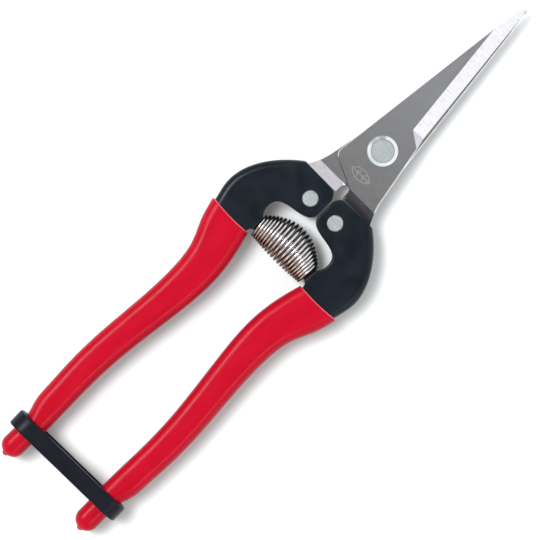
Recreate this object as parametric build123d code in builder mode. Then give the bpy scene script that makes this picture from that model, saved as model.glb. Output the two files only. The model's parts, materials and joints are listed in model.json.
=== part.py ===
"""Floral snips: two blades on a pivot, cast handles in soft sleeves, a return spring and a closing strap.

Row frame: +Z up from the surface the snips lie on, +Y along the tool towards the blade tips, +X across.
The sketches below are drawn about the pivot axis, on the plane where the two blades meet.
"""
import os
from math import cos, hypot, pi, radians, sin

from build123d import *

# ---- driving dimensions, in millimetres and degrees ------------------------------------------------
BLADE_REACH = 56.3          # pivot axis to the blade tips
HANDLE_REACH = 134.0        # pivot axis to the ends of the sleeves, without their drips

BLADE_THICKNESS = 2.1
BLADE_GAP = 0.04            # running gap between the two blades
BEVEL_START = 10.6          # pivot axis to the lower end of the ground bevel
BEVEL_WIDTH = 3.85
EDGE_LAND = 0.15            # blade thickness left under the bevel at the cutting edge
JOGGLE_START = 13.9         # pivot axis to the bend that brings the tang to the middle plane
JOGGLE_END = 17.2
EDGE_BREAK = 0.2            # small chamfer round the blades, except along the cutting edges
MARK_DEPTH = 0.18           # engraved leaf beside the pivot
MARK_GROOVE = 0.34

PIVOT_RADIUS = 2.5
PIVOT_FLARE = 3.1           # radius of the rivet where it fills the countersunk collar
COLLAR_RADIUS = 4.3
COLLAR_HEIGHT = 1.1
COLLAR_SLOPE_WIDTH = 0.95
COLLAR_SLOPE_HEIGHT = 0.55
RIVET_RADIUS = 2.35
RIVET_PROUD = 0.12
RIVET_CHAMFER = 0.25
RUNNING_CLEARANCE = 0.03    # radial, in the hole that turns
FIT_CLEARANCE = 0.02        # radial, in the holes that do not turn
SLOT_CLEARANCE = 0.05       # round each tang in its handle

NECK_TOP = 17.3             # pivot axis to the top edge of the handles
NECK_THICKNESS = 8.4
END_THICKNESS = 6.4         # the handle castings taper to this at their lower ends
NOSE_GAP = 0.4              # between the two handles where they meet as a stop
SHOULDER_X = 24.7           # widest half-width of the handles
FRAME_ROUNDING = 2.0
EDGE_ROUNDING = 0.5

GRIP_TOP = 42.3             # pivot axis to the top of the sleeves
GRIP_WALL = 0.8
GRIP_ROUNDING = 2.8
LIP_ROUNDING = 0.5
DRIP_RADIUS = 1.15
DRIP_LENGTH = 0.6

SEAT_X = 10.15              # half the distance between the two spring seats
SEAT_DROP = 38.7            # pivot axis to the middle of the seats
SEAT_TILT = 6.0
SEAT_HALF = 2.1
PEG_RADIUS = 2.2
PEG_LENGTH = 2.2
WIRE = 0.8
SPRING_TURNS = 19
SPRING_END_RADIUS = 3.6
SPRING_MID_RADIUS = 6.2
SPRING_DROP = 0.25          # the coil's ends sit this far below the middle of the seats
SPRING_RISE = 2.1           # the coil's axis bows this far towards the pivot
SPRING_BUNCHING = 0.24      # how much closer the end turns are than the average pitch
SPRING_CLEARANCE = 0.06

STRAP_FROM_END = 9.9        # ends of the sleeves to the middle of the strap
STRAP_WIDTH = 4.9
STRAP_WALL = 1.8            # beside the sleeves
STRAP_ROOF = 2.2            # above and below them
STRAP_FIT = 0.2
STRAP_TILT = 1.15
STRAP_ROUNDING = 0.6
NICK_RADIUS = 0.45

# ---- places that follow from them ------------------------------------------------------------------
OVERALL_DROP = HANDLE_REACH + DRIP_LENGTH
PIVOT_Y = (OVERALL_DROP - BLADE_REACH) / 2
END_HALF_HEIGHT = END_THICKNESS / 2 + GRIP_WALL
STRAP_INNER_HALF_HEIGHT = END_HALF_HEIGHT + STRAP_FIT
STRAP_HALF_HEIGHT = STRAP_INNER_HALF_HEIGHT + STRAP_ROOF
MID_Z = STRAP_HALF_HEIGHT
ORIGIN = (0, PIVOT_Y, MID_Z)
LEVEL = Plane(ORIGIN)
SIDE = Plane(ORIGIN, x_dir=(0, 1, 0), z_dir=(1, 0, 0))
SAFE = 60.0                 # reach of cutting blocks, well past every solid

BLADE_TOP = BLADE_GAP / 2 + BLADE_THICKNESS
CUTTING_START = (5.6, BEVEL_START)
FACET_END = (6.4, BEVEL_START - 3.6)
CUTTING_END = (0.7, BLADE_REACH - 0.8)
RIVET_PLACE = (4.9, -23.6)
STRAP_Y = STRAP_FROM_END - HANDLE_REACH
END_OUTER_X = 17.95         # the sleeve's two sides where the strap grips and where its end is rounded
END_INNER_X = 11.15
END_ROUND_Y = (END_OUTER_X - END_INNER_X) / 2 - HANDLE_REACH
INWARD = (-0.25, -1)        # direction of the handle's outer side where the sleeve begins
DOWN = (0, -1)
UP = (0, 1)


def half_thickness(y, skin=0.0):
    """Half the handle casting's thickness at y, plus a skin: it tapers evenly to the end."""
    share = (-y - NECK_TOP) / (HANDLE_REACH - NECK_TOP)
    return (NECK_THICKNESS + (END_THICKNESS - NECK_THICKNESS) * share) / 2 + skin


# ---- blades ----------------------------------------------------------------------------------------
def blade_plan(clearance=0.0):
    """Outline of the upper blade and its tang, seen from above, with a clearance all round."""
    spine_end = (-2.25, BLADE_REACH - 9.8)
    tip_left = (-0.9, BLADE_REACH - 1.1)
    root = (9.45, -9.0)
    flare_end = (12.1, -17.0)
    with BuildSketch(LEVEL) as plan:
        with BuildLine():
            ThreePointArc(CUTTING_END, (-0.1, BLADE_REACH), tip_left)
            FilletPolyline(
                tip_left, spine_end, (-8.87, -9.4), (1.3, -14.2), (1.5, -26.8), (12.4, -29.2),
                (16.8, -24.2), flare_end, radius=[30, 2.6, 1.6, 2.5, 1.5, 1.5])
            ThreePointArc(flare_end, (10.45, -13.2), root)
            Polyline(root, FACET_END, CUTTING_START, CUTTING_END)
        make_face()
        if clearance:
            offset(amount=clearance)
    return plan.sketch


def blade_slice(side_points):
    """The upper blade's outline in full height, cut to a shape seen from the side."""
    with BuildSketch(SIDE) as side:
        with BuildLine():
            Polyline(side_points, close=True)
        make_face()
    with BuildPart() as piece:
        extrude(blade_plan(), amount=SAFE, both=True)
        extrude(side.sketch, amount=SAFE, both=True, mode=Mode.INTERSECT)
    return piece.part


def bevel_cutter():
    """Everything above the ground bevel and above the small facet where the grinding runs out."""
    past = 1.25
    head = 1.0
    length = hypot(CUTTING_END[0] - CUTTING_START[0], CUTTING_END[1] - CUTTING_START[1])
    along = Vector(CUTTING_END[0] - CUTTING_START[0], CUTTING_END[1] - CUTTING_START[1]) / length
    land = BLADE_GAP / 2 + EDGE_LAND
    edge_start = Vector(CUTTING_START[0], CUTTING_START[1], land)
    edge_end = edge_start + along * (length + 10)
    across = Vector(-along.Y, along.X) * BEVEL_WIDTH + Vector(0, 0, BLADE_TOP - land)
    inner_start = edge_start + across
    inner_end = edge_end + across
    facet_end = Vector(*FACET_END, BLADE_TOP)
    low_points = [
        inner_start,
        inner_end,
        inner_start + (edge_start - inner_start) * past,
        inner_end + (edge_end - inner_end) * past,
        inner_start + (facet_end - inner_start) * past,
    ]
    points = low_points + [point + Vector(0, 0, head + BLADE_THICKNESS) for point in low_points]
    cutter = ConvexPolyhedron([tuple(point) for point in points], mode=Mode.PRIVATE)
    return cutter.moved(Location(ORIGIN))


def leaf_mark():
    """A small plain leaf lying across the blade, drawn in grooves: outline, midrib and four veins."""
    half_length = 3.5
    half_width = 1.75
    vein_length = 1.4
    vein_middle = vein_length / 2 * sin(radians(45))
    lobe = (half_length ** 2 + half_width ** 2) / (2 * half_width)
    with BuildSketch(LEVEL.offset(BLADE_TOP - MARK_DEPTH)) as leaf:
        with Locations((0.4, -9.0)):
            with Locations((0, lobe - half_width)):
                Circle(lobe)
            with Locations((0, half_width - lobe)):
                Circle(lobe, mode=Mode.INTERSECT)
            offset(amount=-MARK_GROOVE, mode=Mode.SUBTRACT)
            Rectangle(2 * (half_length - MARK_GROOVE), MARK_GROOVE)
            for x in (-1.0, 0.9):
                for side in (-1, 1):
                    with Locations(Location((x, side * vein_middle), side * 45)):
                        Rectangle(vein_length, MARK_GROOVE)
    return leaf.sketch


def outline_edges(level):
    """The upper blade's outline edges at a level, without its cutting edge, tip and bend."""
    tip_x = -0.5
    height = MID_Z + level
    bend_y = PIVOT_Y - JOGGLE_START + EDGE_BREAK
    return [
        edge for edge in upper_blade.edges().filter_by_position(Axis.Z, height, height)
        if edge.center().Y > bend_y and (edge.center().X < tip_x or edge.center().Y < PIVOT_Y + BEVEL_START)]


blade_low = BLADE_GAP / 2
tang_half = BLADE_THICKNESS / 2
tang_end = -35.0
past_tip = BLADE_REACH + 5
with BuildPart() as upper_blade:
    add(blade_slice([
        (past_tip, blade_low), (-JOGGLE_START, blade_low), (-JOGGLE_START, BLADE_TOP), (past_tip, BLADE_TOP)]))
    chamfer(outline_edges(BLADE_TOP) + outline_edges(blade_low), EDGE_BREAK)
    add(blade_slice([
        (-JOGGLE_START, blade_low), (-JOGGLE_END, -tang_half), (tang_end, -tang_half), (tang_end, tang_half),
        (-JOGGLE_END, tang_half), (-JOGGLE_START, BLADE_TOP)]))
    add(bevel_cutter(), mode=Mode.SUBTRACT)
    with Locations(LEVEL):
        Cylinder(PIVOT_RADIUS + RUNNING_CLEARANCE, SAFE, mode=Mode.SUBTRACT)
        with Locations(RIVET_PLACE):
            Cylinder(RIVET_RADIUS + FIT_CLEARANCE, SAFE, mode=Mode.SUBTRACT)
    extrude(leaf_mark(), amount=BLADE_THICKNESS, mode=Mode.SUBTRACT)

TURN_OVER = Axis(ORIGIN, (0, 1, 0))
with BuildPart() as lower_blade:
    add(upper_blade.part.rotate(TURN_OVER, 180))


# ---- pivot and rivets ------------------------------------------------------------------------------
collar_top = BLADE_TOP + BLADE_GAP / 2 + COLLAR_HEIGHT
collar_bottom = -BLADE_TOP - COLLAR_HEIGHT

SECTION = Plane(ORIGIN, x_dir=(1, 0, 0), z_dir=(0, -1, 0))
PIVOT_AXIS = Axis(ORIGIN, (0, 0, 1))


def collar(face, inward):
    """A ring with a sloping rim, countersunk for the rivet, from its outer face towards the blades."""
    hole = PIVOT_RADIUS + FIT_CLEARANCE
    sink = PIVOT_FLARE + FIT_CLEARANCE
    with BuildPart() as ring:
        with BuildSketch(SECTION):
            with BuildLine():
                Polyline(
                    (sink, face), (COLLAR_RADIUS - COLLAR_SLOPE_WIDTH, face),
                    (COLLAR_RADIUS, face + inward * COLLAR_SLOPE_HEIGHT),
                    (COLLAR_RADIUS, face + inward * COLLAR_HEIGHT), (hole, face + inward * COLLAR_HEIGHT),
                    (hole, face + inward * (sink - hole)), close=True)
            make_face()
        revolve(axis=PIVOT_AXIS)
    return ring.part


with BuildPart() as front_collar:
    add(collar(collar_top, -1))

with BuildPart() as rear_collar:
    add(collar(collar_bottom, 1))

with BuildPart() as pivot_rivet:
    flare_depth = PIVOT_FLARE - PIVOT_RADIUS
    with BuildSketch(SECTION):
        with BuildLine():
            Polyline(
                (0, collar_bottom), (PIVOT_FLARE, collar_bottom), (PIVOT_RADIUS, collar_bottom + flare_depth),
                (PIVOT_RADIUS, collar_top - flare_depth), (PIVOT_FLARE, collar_top), (0, collar_top), close=True)
        make_face()
    revolve(axis=PIVOT_AXIS)

rivet_half = half_thickness(RIVET_PLACE[1], RIVET_PROUD)
with BuildPart() as right_tang_rivet:
    with BuildSketch(LEVEL):
        with Locations(RIVET_PLACE):
            Circle(RIVET_RADIUS)
    extrude(amount=rivet_half, both=True)
    chamfer(right_tang_rivet.edges().filter_by(GeomType.CIRCLE), RIVET_CHAMFER)

with BuildPart() as left_tang_rivet:
    mirror(right_tang_rivet.part, about=Plane.YZ)


# ---- handles ---------------------------------------------------------------------------------------
def station(share):
    """Y of a place along the sleeve, as a share of its length from the top."""
    return -GRIP_TOP - share * (HANDLE_REACH - GRIP_TOP)


def sleeve_outer(skin):
    """Points down the right sleeve's outer side, a skin inside its surface."""
    points = [
        (24.3, station(0)), (22.5, station(0.07)), (19.75, station(0.14)), (18.35, station(0.24)),
        (18.75, station(0.38)), (19.9, station(0.54)), (20.1, station(0.66)), (19.6, STRAP_Y + 11),
        (19.15, STRAP_Y + 6.6), (18.0, STRAP_Y + 2.9), (END_OUTER_X, END_ROUND_Y)]
    return [(x - skin, y) for x, y in points]


def sleeve_inner(skin):
    """Points up the right sleeve's inner side, a skin inside its surface."""
    points = [
        (END_INNER_X, END_ROUND_Y), (10.9, STRAP_Y + 5), (11.15, station(0.7)), (10.9, station(0.58)),
        (9.6, station(0.44)), (8.2, station(0.32)), (7.4, station(0.2)), (7.85, station(0.125)),
        (8.75, station(0.07)), (10.4, station(0.003))]
    return [(x + skin, y) for x, y in points]


def round_end(skin):
    """Arc round the lower end of the sleeve, a skin inside its surface."""
    return ThreePointArc(
        (END_OUTER_X - skin, END_ROUND_Y), ((END_OUTER_X + END_INNER_X) / 2, skin - HANDLE_REACH),
        (END_INNER_X + skin, END_ROUND_Y))


def handle_side(skin, top):
    """The right handle seen from the side, tapering to its lower end."""
    bottom = HANDLE_REACH + 5
    with BuildSketch(SIDE) as side:
        with BuildLine():
            Polyline(
                (-top, half_thickness(-top, skin)), (-bottom, half_thickness(-bottom, skin)),
                (-bottom, -half_thickness(-bottom, skin)), (-top, -half_thickness(-top, skin)), close=True)
        make_face()
    return side.sketch


def frame_plan():
    """Outline of the right handle casting: nose, spring pocket, seat, and the core inside the sleeve."""
    nose_x = NOSE_GAP / 2
    neck_corner = (13.3, -NECK_TOP + 0.1)
    nose_corner = (1.9, -NECK_TOP - 0.2)
    nose_top = (nose_x, -NECK_TOP - 3.1)
    nose_bottom = (nose_x, -NECK_TOP - 7.9)
    lean = SEAT_HALF * sin(radians(SEAT_TILT))
    rise = SEAT_HALF * cos(radians(SEAT_TILT))
    seat_top = (SEAT_X + lean, -SEAT_DROP + rise)
    seat_bottom = (SEAT_X - lean, -SEAT_DROP - rise)
    core_outer = sleeve_outer(GRIP_WALL)
    core_inner = sleeve_inner(GRIP_WALL)
    shoulder = [
        neck_corner, (17.7, -NECK_TOP - 3.8), (22.4, -NECK_TOP - 10.1), (SHOULDER_X, -NECK_TOP - 17.9),
        core_outer[0]]
    with BuildSketch(LEVEL) as plan:
        with BuildLine():
            Line(nose_corner, neck_corner)
            Spline(shoulder, tangents=[(1, -0.75), INWARD])
            Spline(core_outer, tangents=[INWARD, DOWN])
            round_end(GRIP_WALL)
            Spline(core_inner, tangents=[UP, (0.3, 1)])
            Polyline(core_inner[-1], (core_inner[-1][0] - 0.3, -GRIP_TOP + 0.8), seat_bottom, seat_top)
            Spline(
                seat_top, (11.3, -NECK_TOP - 18.2), (11.75, -NECK_TOP - 15.6), (10.9, -NECK_TOP - 13.4),
                (8.7, -NECK_TOP - 12.2), (3.6, -NECK_TOP - 11.2), (1.1, -NECK_TOP - 10.0), nose_bottom)
            Line(nose_bottom, nose_top)
            Spline(nose_top, (0.75, -NECK_TOP - 1.4), nose_corner)
        make_face()
    return plan.sketch


SEAT_NORMAL = (-cos(radians(SEAT_TILT)), sin(radians(SEAT_TILT)), 0)
SEAT = Plane((SEAT_X, PIVOT_Y - SEAT_DROP, MID_Z), x_dir=(0, 0, 1), z_dir=SEAT_NORMAL)

with BuildPart() as right_frame:
    extrude(frame_plan(), amount=SAFE, both=True)
    extrude(handle_side(0, NECK_TOP - 3), amount=SAFE, both=True, mode=Mode.INTERSECT)
    for radius, chosen in ((EDGE_ROUNDING, slice(5, 9)), (FRAME_ROUNDING, slice(0, 3))):
        for side in (0, -1):
            rim = right_frame.faces().filter_by(GeomType.PLANE).sort_by(Axis.Z)[side]
            fillet(rim.edges().sort_by(Axis.Y)[chosen], radius)
    with Locations(SEAT):
        Cylinder(PEG_RADIUS, 2 * PEG_LENGTH)
    with Locations(LEVEL):
        with Locations(RIVET_PLACE):
            Cylinder(RIVET_RADIUS + FIT_CLEARANCE, SAFE, mode=Mode.SUBTRACT)
    slot_half_height = BLADE_THICKNESS / 2 + SLOT_CLEARANCE
    extrude(blade_plan(SLOT_CLEARANCE), amount=slot_half_height, both=True, mode=Mode.SUBTRACT)

with BuildPart() as left_frame:
    mirror(right_frame.part, about=Plane.YZ)


# ---- sleeves ---------------------------------------------------------------------------------------
with BuildPart() as right_grip:
    outer = sleeve_outer(0)
    inner = sleeve_inner(0)
    with BuildSketch(LEVEL):
        with BuildLine():
            Spline(outer, tangents=[INWARD, DOWN])
            round_end(0)
            Spline(inner, tangents=[UP, (0.3, 1)])
            ThreePointArc(inner[-1], (17.2, -GRIP_TOP - 0.6), outer[0])
        make_face()
    extrude(amount=SAFE, both=True)
    extrude(handle_side(GRIP_WALL, GRIP_TOP - 5), amount=SAFE, both=True, mode=Mode.INTERSECT)
    rims = right_grip.faces().sort_by(Axis.Z)
    for rim in (rims[0], rims[-1]):
        fillet(rim.edges().sort_by(Axis.Y)[:3], GRIP_ROUNDING)
    fillet(right_grip.faces().sort_by(Axis.Y)[-1].edges(), LIP_ROUNDING)
    with Locations(LEVEL):
        with Locations((14.7, DRIP_RADIUS - OVERALL_DROP)):
            Sphere(DRIP_RADIUS)
    add(right_frame.part, mode=Mode.SUBTRACT)

with BuildPart() as left_grip:
    mirror(right_grip.part, about=Plane.YZ)


# ---- return spring ---------------------------------------------------------------------------------
def coil_point(turn):
    """A point on the wire's centre line: a barrel-shaped coil whose axis bows towards the pivot."""
    half_span = SEAT_X - (WIRE / 2 + SPRING_CLEARANCE)
    along = pi * (2 * turn / SPRING_TURNS - 1)
    u = (along + SPRING_BUNCHING * (sin(along) + sin(2 * along) / 10)) / pi
    fullness = 1 - u ** 2
    radius = SPRING_END_RADIUS - WIRE / 2 + (SPRING_MID_RADIUS - SPRING_END_RADIUS) * fullness
    lean = radians(SEAT_TILT) * u
    up = radius * cos(2 * pi * turn)
    return Vector(
        half_span * u + up * sin(lean),
        PIVOT_Y - SEAT_DROP - SPRING_DROP + SPRING_RISE * fullness + up * cos(lean),
        MID_Z + radius * sin(2 * pi * turn))


POINTS_PER_TURN = 12
with BuildPart() as return_spring:
    steps = SPRING_TURNS * POINTS_PER_TURN
    with BuildLine() as wire_path:
        Spline([coil_point(step / POINTS_PER_TURN) for step in range(steps + 1)])
    with BuildSketch(Plane(wire_path.line @ 0, z_dir=wire_path.line % 0)):
        Circle(WIRE / 2)
    sweep(path=wire_path.line, is_frenet=True)


# ---- closing strap ---------------------------------------------------------------------------------
STRAP_INNER_HALF_WIDTH = END_OUTER_X + STRAP_FIT
STRAP_INNER_RADIUS = GRIP_ROUNDING + STRAP_FIT
STRAP_PLANE = Plane(
    (0, PIVOT_Y + STRAP_Y, MID_Z),
    x_dir=(cos(radians(STRAP_TILT)), sin(radians(STRAP_TILT)), 0),
    z_dir=(sin(radians(STRAP_TILT)), -cos(radians(STRAP_TILT)), 0))

with BuildPart() as closing_strap:
    with BuildSketch(STRAP_PLANE):
        RectangleRounded(
            2 * (STRAP_INNER_HALF_WIDTH + STRAP_WALL), 2 * STRAP_HALF_HEIGHT, STRAP_INNER_RADIUS + STRAP_WALL)
        RectangleRounded(
            2 * STRAP_INNER_HALF_WIDTH, 2 * STRAP_INNER_HALF_HEIGHT, STRAP_INNER_RADIUS, mode=Mode.SUBTRACT)
    extrude(amount=STRAP_WIDTH / 2, both=True)
    ends = closing_strap.faces().filter_by(GeomType.PLANE).sort_by(SortBy.AREA)[-2:]
    fillet([edge for end in ends for edge in end.outer_wire().edges()], STRAP_ROUNDING)
    with Locations(STRAP_PLANE):
        with Locations((-0.8, STRAP_HALF_HEIGHT, -STRAP_WIDTH / 2)):
            Sphere(NICK_RADIUS, mode=Mode.SUBTRACT)


# ---- labels and files ------------------------------------------------------------------------------
PIECES = {
    "upper_blade": upper_blade,
    "lower_blade": lower_blade,
    "pivot_rivet": pivot_rivet,
    "front_collar": front_collar,
    "rear_collar": rear_collar,
    "right_frame": right_frame,
    "left_frame": left_frame,
    "right_tang_rivet": right_tang_rivet,
    "left_tang_rivet": left_tang_rivet,
    "right_grip": right_grip,
    "left_grip": left_grip,
    "return_spring": return_spring,
    "closing_strap": closing_strap,
}

os.makedirs("parts", exist_ok=True)
for name, piece in PIECES.items():
    piece.part.label = name
    export_step(piece.part, f"parts/{name}.step")
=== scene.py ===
"""Looks for the floral snips: materials, return spring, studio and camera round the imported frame.

Everything is in metres in the row frame: +Z up, +Y along the tool to the blade tips, +X across the handles.
"""
import json
import math

import bmesh
import bpy
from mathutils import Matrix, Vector


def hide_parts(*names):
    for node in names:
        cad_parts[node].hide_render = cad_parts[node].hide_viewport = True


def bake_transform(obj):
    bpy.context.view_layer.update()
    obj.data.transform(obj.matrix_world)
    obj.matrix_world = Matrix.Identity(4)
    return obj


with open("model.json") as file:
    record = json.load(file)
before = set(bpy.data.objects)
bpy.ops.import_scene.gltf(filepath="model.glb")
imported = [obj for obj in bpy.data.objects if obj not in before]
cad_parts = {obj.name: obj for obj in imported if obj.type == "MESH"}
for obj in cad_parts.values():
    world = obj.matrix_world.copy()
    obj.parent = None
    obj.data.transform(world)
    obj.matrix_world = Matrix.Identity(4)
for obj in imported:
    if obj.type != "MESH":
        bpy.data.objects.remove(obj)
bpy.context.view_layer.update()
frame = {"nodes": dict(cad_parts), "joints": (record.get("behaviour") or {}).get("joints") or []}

MM = 0.001
NODES = frame["nodes"]
PIVOT = Vector([j for j in frame["joints"] if j["name"] == "handle_open"][0]["pos_m"])

# Return spring. The wire follows the CAD coil: a barrel of turns, bowed towards the pivot between its seats.
WIRE_RADIUS = 0.4 * MM
SPRING_TURNS = 19
SPRING_HALF_SPAN = 9.69 * MM
SPRING_FROM_PIVOT = 38.95 * MM
SPRING_MID_RADIUS = 5.8 * MM
SPRING_END_RADIUS = 3.2 * MM
SPRING_RISE = 2.1 * MM
SPRING_TILT = math.radians(6.0)
BUNCHING = 0.24
PER_TURN = 36
WIRE_SIDES = 14

# Blade heights above or below the meeting plane, where the color changes: the stamped mark's groove, and the
# painted shade on faces that lie lower.
GROOVE_TOP = 2.05 * MM
INNER_LEVEL = 1.75 * MM
LEVEL_FADE = 0.05 * MM

# Studio.
FLOOR_HALF = 3.0
FLOOR_DROP = 0.02 * MM
WALLS = 1.02
KEY_STRENGTH = 2.3
KEY_ANGLE = math.radians(22)
KEY_TOWARD = (-0.30, -0.14, 0.944)

# Camera. It looks straight down from far away, turned so that the tips point to the upper right.
CAMERA_DISTANCE = 1.2
VIEW_SIDE = 150.7 * MM
VIEW_CENTRE = (1.3 * MM, PIVOT.y - 45.6 * MM)
CAMERA_TURN = math.radians(45.11)
SENSOR_WIDTH = 36.0
CAMERA_CLIP_START = 0.05


# ---- material helpers ------------------------------------------------------------------------------
class Paint:
    """One procedural material: a Principled shader and the few nodes that feed it.

    The color, metallic and roughness it starts with are its plain values, for a viewer that reads no nodes.
    """

    def __init__(self, name, color, metallic=0.0, roughness=0.4, **extra):
        self.material = bpy.data.materials.new(name)
        self.material.use_nodes = True
        self.material.diffuse_color = (*color, 1)
        self.nodes = self.material.node_tree.nodes
        self.links = self.material.node_tree.links
        self.shader = self.nodes["Principled BSDF"]
        self.set("Base Color", (*color, 1))
        self.set("Metallic", metallic)
        self.set("Roughness", roughness)
        for socket, value in extra.items():
            self.set(socket.replace("_", " "), value)
        self.coordinates = self.nodes.new("ShaderNodeTexCoord").outputs
        self.height = None

    def set(self, socket, value):
        self.shader.inputs[socket].default_value = value

    def link(self, output, socket):
        self.links.new(output, self.shader.inputs[socket])

    def node(self, kind, **values):
        """A new node; each value goes to its property, or else to the socket of that name."""
        made = self.nodes.new(kind)
        for key, value in values.items():
            if hasattr(made, key):
                setattr(made, key, value)
            else:
                made.inputs[key.replace("_", " ")].default_value = value
        return made

    def noise(self, size, stretch=(1, 1, 1), detail=3.0, roughness=0.5):
        """Noise whose features are about size metres, drawn out along each axis by stretch."""
        mapping = self.node("ShaderNodeMapping", Scale=[1 / (size * s) for s in stretch])
        self.links.new(self.coordinates["Object"], mapping.inputs["Vector"])
        noise = self.node("ShaderNodeTexNoise", Scale=1.0, Detail=detail, Roughness=roughness)
        self.links.new(mapping.outputs["Vector"], noise.inputs["Vector"])
        return noise.outputs["Fac"]

    def ramp(self, value, low, high, start=0.35, end=0.65):
        """Maps a value between start and end to numbers between low and high."""
        spread = self.node("ShaderNodeMapRange", From_Min=start, From_Max=end, To_Min=low, To_Max=high)
        self.links.new(value, spread.inputs["Value"])
        return spread.outputs["Result"]

    def rise(self, value, start, end):
        """A mask that is 0 up to start and 1 from end on."""
        return self.ramp(value, 0.0, 1.0, start, end)

    def fall(self, value, start, end):
        """A mask that is 1 up to start and 0 from end on."""
        return self.ramp(value, 1.0, 0.0, start, end)

    def blend(self, factor, low, high):
        """Mixes two colors, each a triple or the output of another node."""
        mix = self.node("ShaderNodeMix", data_type="RGBA")
        self.links.new(factor, mix.inputs["Factor"])
        for socket in mix.inputs:
            if socket.type != "RGBA":
                continue
            color = low if socket.name == "A" else high
            if isinstance(color, tuple):
                socket.default_value = (*color, 1)
            else:
                self.links.new(color, socket)
        return [out for out in mix.outputs if out.type == "RGBA"][0]

    def cloud(self, noise, low, high):
        """Two colors mixed by a noise."""
        return self.blend(self.ramp(noise, 0.0, 1.0), low, high)

    def part(self, source, axis):
        """One axis of the piece's own coordinates: Object for the place in metres, Normal for the facing."""
        split = self.node("ShaderNodeSeparateXYZ")
        self.links.new(self.coordinates[source], split.inputs["Vector"])
        return split.outputs[axis]

    def off(self, value, middle=0.0):
        """How far a value is from the middle, either way."""
        moved = self.node("ShaderNodeMath", operation="SUBTRACT")
        self.links.new(value, moved.inputs[0])
        moved.inputs[1].default_value = middle
        size = self.node("ShaderNodeMath", operation="ABSOLUTE")
        self.links.new(moved.outputs[0], size.inputs[0])
        return size.outputs[0]

    def bump(self, value, depth, strength=1.0):
        """Adds relief of about depth metres; several calls pile up."""
        bump = self.node("ShaderNodeBump", Strength=strength, Distance=depth)
        self.links.new(value, bump.inputs["Height"])
        if self.height is not None:
            self.links.new(self.height, bump.inputs["Normal"])
        self.height = bump.outputs["Normal"]
        self.link(self.height, "Normal")


# ---- materials -------------------------------------------------------------------------------------
def blade_steel():
    """Satin flats painted lighter towards the tips and painted shade on lower faces; painted highlights and
    shade on the ground slopes, fine cross marks.
    """
    paint = Paint("blade_steel", (0.56, 0.565, 0.58), metallic=1.0, roughness=0.24)
    grain = paint.noise(0.55 * MM, detail=5, roughness=0.7)
    speckle = paint.noise(0.11 * MM, stretch=(2.5, 1, 1), detail=2)
    marks = paint.noise(0.30 * MM, stretch=(8, 1, 8), detail=2)
    facing_up = paint.off(paint.part("Normal", "Z"))
    facing_along = paint.part("Normal", "Y")
    depth = paint.off(paint.part("Object", "Z"), PIVOT.z)

    # Painted reflection: the flats are darker near the handles and lighter towards the tips, standing in for
    # the studio seen in the satin steel.
    near = paint.cloud(grain, (0.385, 0.38, 0.378), (0.475, 0.47, 0.465))
    far = paint.cloud(grain, (0.53, 0.54, 0.57), (0.62, 0.63, 0.66))
    reflection_toward_tip = paint.rise(paint.part("Object", "Y"), PIVOT.y - 12 * MM, PIVOT.y + 22 * MM)
    groove = paint.fall(depth, GROOVE_TOP - LEVEL_FADE, GROOVE_TOP)
    flats = paint.blend(groove, paint.blend(reflection_toward_tip, near, far), (0.66, 0.66, 0.65))
    # Painted shade: faces lower than the top of the upper blade, such as the lower blade's strip beside it,
    # take the darker flat colour.
    inner = paint.fall(depth, INNER_LEVEL - LEVEL_FADE, INNER_LEVEL)
    flats = paint.blend(inner, flats, near)

    # Painted highlight: the ground slopes are painted near white, streaked by the cross marks, for the
    # bright walls they reflect.
    bevel_highlight = paint.cloud(marks, (0.82, 0.815, 0.85), (0.96, 0.955, 0.975))
    # Painted reflection: the run-out facets, turned along the blade, are painted a duller lilac grey.
    facet = paint.rise(paint.off(facing_along), 0.40, 0.50)
    steep = paint.blend(facet, bevel_highlight, (0.70, 0.67, 0.76))
    # Painted shade: gentle slopes turned towards the handles, such as the upper blade's band by its handle,
    # are painted dark, streaked by the cross marks; the other gentle slopes take the painted highlight.
    streaked_dark_reflection = paint.cloud(marks, (0.32, 0.30, 0.34), (0.52, 0.49, 0.53))
    back_slope = paint.fall(facing_along, -0.25, -0.15)
    shallow = paint.blend(back_slope, bevel_highlight, streaked_dark_reflection)
    ground = paint.blend(paint.rise(facing_up, 0.88, 0.92), steep, shallow)

    level = paint.rise(facing_up, 0.965, 0.985)
    paint.link(paint.blend(level, ground, flats), "Base Color")
    paint.link(paint.ramp(speckle, 0.22, 0.27), "Roughness")
    paint.bump(speckle, 0.0004 * MM, 0.4)
    return paint.material


def collar_steel():
    """Bright turned steel with a faint ripple."""
    paint = Paint("collar_steel", (0.86, 0.89, 0.93), metallic=1.0, roughness=0.16)
    paint.link(paint.ramp(paint.noise(0.4 * MM), 0.12, 0.24), "Roughness")
    paint.bump(paint.noise(0.25 * MM, detail=2), 0.002 * MM, 0.5)
    return paint.material


def rivet_steel():
    """Matte ground rivet ends with faint pits and a cool grey cast."""
    paint = Paint("rivet_steel", (0.50, 0.55, 0.54), metallic=1.0, roughness=0.4)
    spots = paint.noise(0.35 * MM, detail=4, roughness=0.6)
    paint.link(paint.cloud(spots, (0.47, 0.525, 0.52), (0.61, 0.675, 0.67)), "Base Color")
    paint.link(paint.ramp(spots, 0.32, 0.46), "Roughness")
    paint.bump(spots, 0.004 * MM, 0.8)
    return paint.material


def handle_black():
    """Satin black coating with fine orange peel."""
    paint = Paint("handle_black", (0.001, 0.004, 0.008), roughness=0.33, Specular_IOR_Level=0.27)
    haze = paint.noise(5 * MM)
    paint.link(paint.cloud(haze, (0.0004, 0.0025, 0.005), (0.0015, 0.005, 0.010)), "Base Color")
    paint.link(paint.ramp(haze, 0.29, 0.38), "Roughness")
    paint.bump(paint.noise(0.45 * MM, detail=2), 0.010 * MM, 0.5)
    return paint.material


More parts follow.
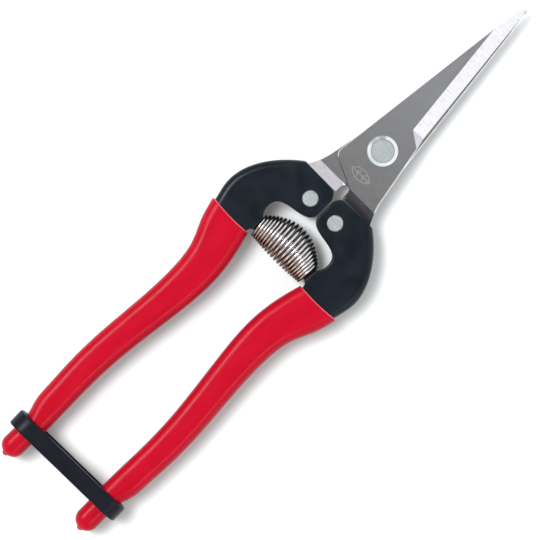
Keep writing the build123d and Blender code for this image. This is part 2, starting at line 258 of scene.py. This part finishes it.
def grip_red():
    """Dipped soft vinyl: satin red with faint flow waves, painted shade on its sides and a painted highlight
    along its top edge.
    """
    paint = Paint("grip_red", (0.40, 0.0006, 0.012), roughness=0.26, Specular_IOR_Level=0.15)
    flow = paint.noise(3.5 * MM, stretch=(1, 3, 1), detail=2)
    top = paint.cloud(flow, (0.34, 0.0004, 0.010), (0.375, 0.0006, 0.013))
    # Painted shade: the sides of the sleeve, where the faces turn away from the light overhead, are painted
    # dark red.
    flank_shade = paint.fall(paint.off(paint.part("Normal", "Z")), 0.0, 0.50)
    body = paint.blend(flank_shade, top, (0.15, 0.0004, 0.007))
    # Painted highlight: faces turned towards the tips, along the sleeve's top edge, are painted pale pink.
    lip_highlight = paint.rise(paint.part("Normal", "Y"), 0.35, 0.65)
    paint.link(paint.blend(lip_highlight, body, (0.66, 0.13, 0.18)), "Base Color")
    paint.link(paint.ramp(flow, 0.28, 0.33), "Roughness")
    paint.bump(flow, 0.02 * MM, 0.4)
    paint.bump(paint.noise(0.5 * MM, detail=2), 0.004 * MM, 0.5)
    return paint.material


def spring_steel():
    """Bright drawn wire with painted shade on the sides of each turn and, away from the pivot, a painted
    bronze and dark red reflection of the red sleeves.
    """
    paint = Paint("spring_steel", (0.80, 0.78, 0.77), metallic=1.0, roughness=0.30)
    tint = paint.noise(1.6 * MM, detail=2)
    bright = paint.cloud(tint, (0.92, 0.91, 0.92), (0.78, 0.74, 0.72))
    # Painted reflection of the red sleeves: on the half of the barrel away from the pivot the wire is
    # painted bronze.
    bronze = paint.cloud(tint, (0.90, 0.76, 0.65), (0.55, 0.41, 0.35))
    below = paint.fall(paint.part("Object", "Y"), PIVOT.y - 40.6 * MM, PIVOT.y - 36.6 * MM)
    # Painted shade on the sides of each turn: dark grey near the pivot, and dark red, a painted reflection
    # of the sleeves, away from it.
    painted_side_shade = paint.blend(below, (0.025, 0.027, 0.032), (0.07, 0.012, 0.012))
    flank_shade = paint.fall(paint.off(paint.part("Normal", "Z")), 0.40, 0.82)
    paint.link(paint.blend(flank_shade, paint.blend(below, bright, bronze), painted_side_shade), "Base Color")
    paint.link(paint.ramp(paint.noise(0.2 * MM), 0.25, 0.31), "Roughness")
    return paint.material


def strap_black():
    """Moulded rubber: near black, satin, with fine mould texture."""
    paint = Paint("strap_black", (0.003, 0.004, 0.008), roughness=0.36, Specular_IOR_Level=0.18)
    paint.link(paint.ramp(paint.noise(4 * MM), 0.33, 0.46), "Roughness")
    paint.bump(paint.noise(0.3 * MM), 0.012 * MM, 0.5)
    return paint.material


spring_material = spring_steel()
for names, material in (
        (("upper_blade", "lower_blade"), blade_steel()),
        (("front_collar", "rear_collar"), collar_steel()),
        (("pivot_rivet", "left_tang_rivet", "right_tang_rivet"), rivet_steel()),
        (("left_frame", "right_frame"), handle_black()),
        (("left_grip", "right_grip"), grip_red()),
        (("return_spring",), spring_material),
        (("closing_strap",), strap_black())):
    for name in names:
        NODES[name].data.materials.clear()
        NODES[name].data.materials.append(material)


# ---- return spring ---------------------------------------------------------------------------------
def coil_centre(turn):
    """A point on the wire's centre line, this many turns from the left end."""
    phase = math.pi * (2 * turn / SPRING_TURNS - 1)
    across = (phase + BUNCHING * (math.sin(phase) + math.sin(2 * phase) / 10)) / math.pi
    fullness = 1 - across ** 2
    radius = SPRING_END_RADIUS + (SPRING_MID_RADIUS - SPRING_END_RADIUS) * fullness
    up = radius * math.cos(2 * math.pi * turn)
    tilt = SPRING_TILT * across
    return Vector((
        SPRING_HALF_SPAN * across + up * math.sin(tilt),
        PIVOT.y - SPRING_FROM_PIVOT + SPRING_RISE * fullness + up * math.cos(tilt),
        PIVOT.z + radius * math.sin(2 * math.pi * turn)))


def wire(name, points):
    """A round wire through the points with domed ends."""
    mesh = bmesh.new()
    angles = [2 * math.pi * step / WIRE_SIDES for step in range(WIRE_SIDES)]
    following_step = {step: (step + 1) % WIRE_SIDES for step in range(WIRE_SIDES)}
    rings = []
    side = Vector((1, 0, 0))
    for index, point in enumerate(points):
        ahead = points[min(index + 1, len(points) - 1)]
        behind = points[max(index - 1, 0)]
        along = (ahead - behind).normalized()
        side = (side - along * side.dot(along)).normalized()
        across = along.cross(side)
        rings.append([
            mesh.verts.new(point + WIRE_RADIUS * (math.cos(angle) * side + math.sin(angle) * across))
            for angle in angles])
    for ring, following in zip(rings, rings[1:]):
        for step, after in following_step.items():
            mesh.faces.new((ring[step], ring[after], following[after], following[step]))
    for ring, outward in ((rings[0], points[0] - points[1]), (rings[-1], points[-1] - points[-2])):
        centre = sum((vert.co for vert in ring), Vector()) / WIRE_SIDES
        tip = mesh.verts.new(centre + outward.normalized() * WIRE_RADIUS / 2)
        for step, after in following_step.items():
            mesh.faces.new((ring[step], ring[after], tip))
    bmesh.ops.recalc_face_normals(mesh, faces=mesh.faces)
    data = bpy.data.meshes.new(name)
    mesh.to_mesh(data)
    mesh.free()
    data.shade_smooth()
    made = bpy.data.objects.new(name, data)
    bpy.context.scene.collection.objects.link(made)
    return made


coil = [coil_centre(step / PER_TURN) for step in range(SPRING_TURNS * PER_TURN + 1)]
spring = wire("spring_coil", coil)
spring.data.materials.append(spring_material)
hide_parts("return_spring")
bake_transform(spring)


# ---- studio ----------------------------------------------------------------------------------------
def make_floor():
    """A matte white sheet just under the strap, which glows a little."""
    data = bpy.data.meshes.new("floor")
    corners = ((-1, -1), (1, -1), (1, 1), (-1, 1))
    data.from_pydata([(x * FLOOR_HALF, y * FLOOR_HALF, -FLOOR_DROP) for x, y in corners], [], [(0, 1, 2, 3)])
    floor = bpy.data.objects.new("floor", data)
    bpy.context.scene.collection.objects.link(floor)
    paint = Paint("floor_white", (0.66, 0.68, 0.68), roughness=0.9, Specular_IOR_Level=0.1,
                  Emission_Color=(1.0, 1.0, 1.0, 1), Emission_Strength=0.08)
    data.materials.append(paint.material)


# Round patches on the studio's walls: direction, outer and inner radius in degrees, change of brightness.
PATCHES = (
    ((0.0, -0.26, 0.966), 46, 34, -0.68),       # grey panel overhead, for the blade flats
    ((0.0, -0.57, 0.82), 20, 9, -0.26),         # dimmer towards the handles
    ((0.0, 0.588, 0.809), 24, 12, -0.36),       # dimmer beyond the tips
    ((-1.0, 0.1, 0.0), 40, 22, -0.75),          # dark on the horizon at the left
    ((-0.62, 0.62, 0.5), 16, 8, -0.6),          # small dark flag between the left and the tips
    ((-0.48, -0.10, 0.87), 13, 6, 16.0),        # lamp on the left
    ((0.56, -0.05, 0.83), 8, 4, 8.0),           # smaller and weaker lamp on the right
)


def make_world():
    """A pale studio: bright all round, with darker and brighter patches on its walls."""
    world = bpy.data.worlds.new("studio")
    bpy.context.scene.world = world
    world.use_nodes = True
    nodes, links = world.node_tree.nodes, world.node_tree.links
    background = nodes["Background"]
    direction = nodes.new("ShaderNodeTexCoord").outputs["Generated"]
    total = nodes.new("ShaderNodeValue").outputs[0]
    total.default_value = WALLS
    for toward, outer, inner, change in PATCHES:
        nearness = nodes.new("ShaderNodeVectorMath")
        nearness.operation = "DOT_PRODUCT"
        nearness.inputs[1].default_value = Vector(toward).normalized()
        links.new(direction, nearness.inputs[0])
        spread = nodes.new("ShaderNodeMapRange")
        spread.interpolation_type = "SMOOTHSTEP"
        spread.inputs["From Min"].default_value = math.cos(math.radians(outer))
        spread.inputs["From Max"].default_value = math.cos(math.radians(inner))
        spread.inputs["To Max"].default_value = change
        links.new(nearness.outputs["Value"], spread.inputs["Value"])
        add = nodes.new("ShaderNodeMath")
        links.new(total, add.inputs[0])
        links.new(spread.outputs["Result"], add.inputs[1])
        total = add.outputs[0]
    links.new(total, background.inputs["Strength"])
    background.inputs["Color"].default_value = (0.99, 0.99, 1.0, 1)


def make_key_light():
    """A wide sun that lights the matte surfaces only; the lamps on the walls make the highlights."""
    data = bpy.data.lights.new("key", "SUN")
    data.energy = KEY_STRENGTH
    data.angle = KEY_ANGLE
    light = bpy.data.objects.new("key", data)
    light.visible_glossy = False
    light.rotation_euler = Vector(KEY_TOWARD).to_track_quat("Z", "Y").to_euler()
    bpy.context.scene.collection.objects.link(light)


def make_camera():
    """Its lens takes in a square of VIEW_SIDE at the distance of the pivot."""
    data = bpy.data.cameras.new("camera")
    data.sensor_width = SENSOR_WIDTH
    data.lens = SENSOR_WIDTH * CAMERA_DISTANCE / VIEW_SIDE
    data.clip_start = CAMERA_CLIP_START
    camera = bpy.data.objects.new("camera", data)
    camera.location = (*VIEW_CENTRE, PIVOT.z + CAMERA_DISTANCE)
    camera.rotation_euler = (0, 0, CAMERA_TURN)
    bpy.context.scene.collection.objects.link(camera)
    bpy.context.scene.camera = camera


make_floor()
make_world()
make_key_light()
make_camera()
bpy.context.scene.view_settings.view_transform = "Standard"
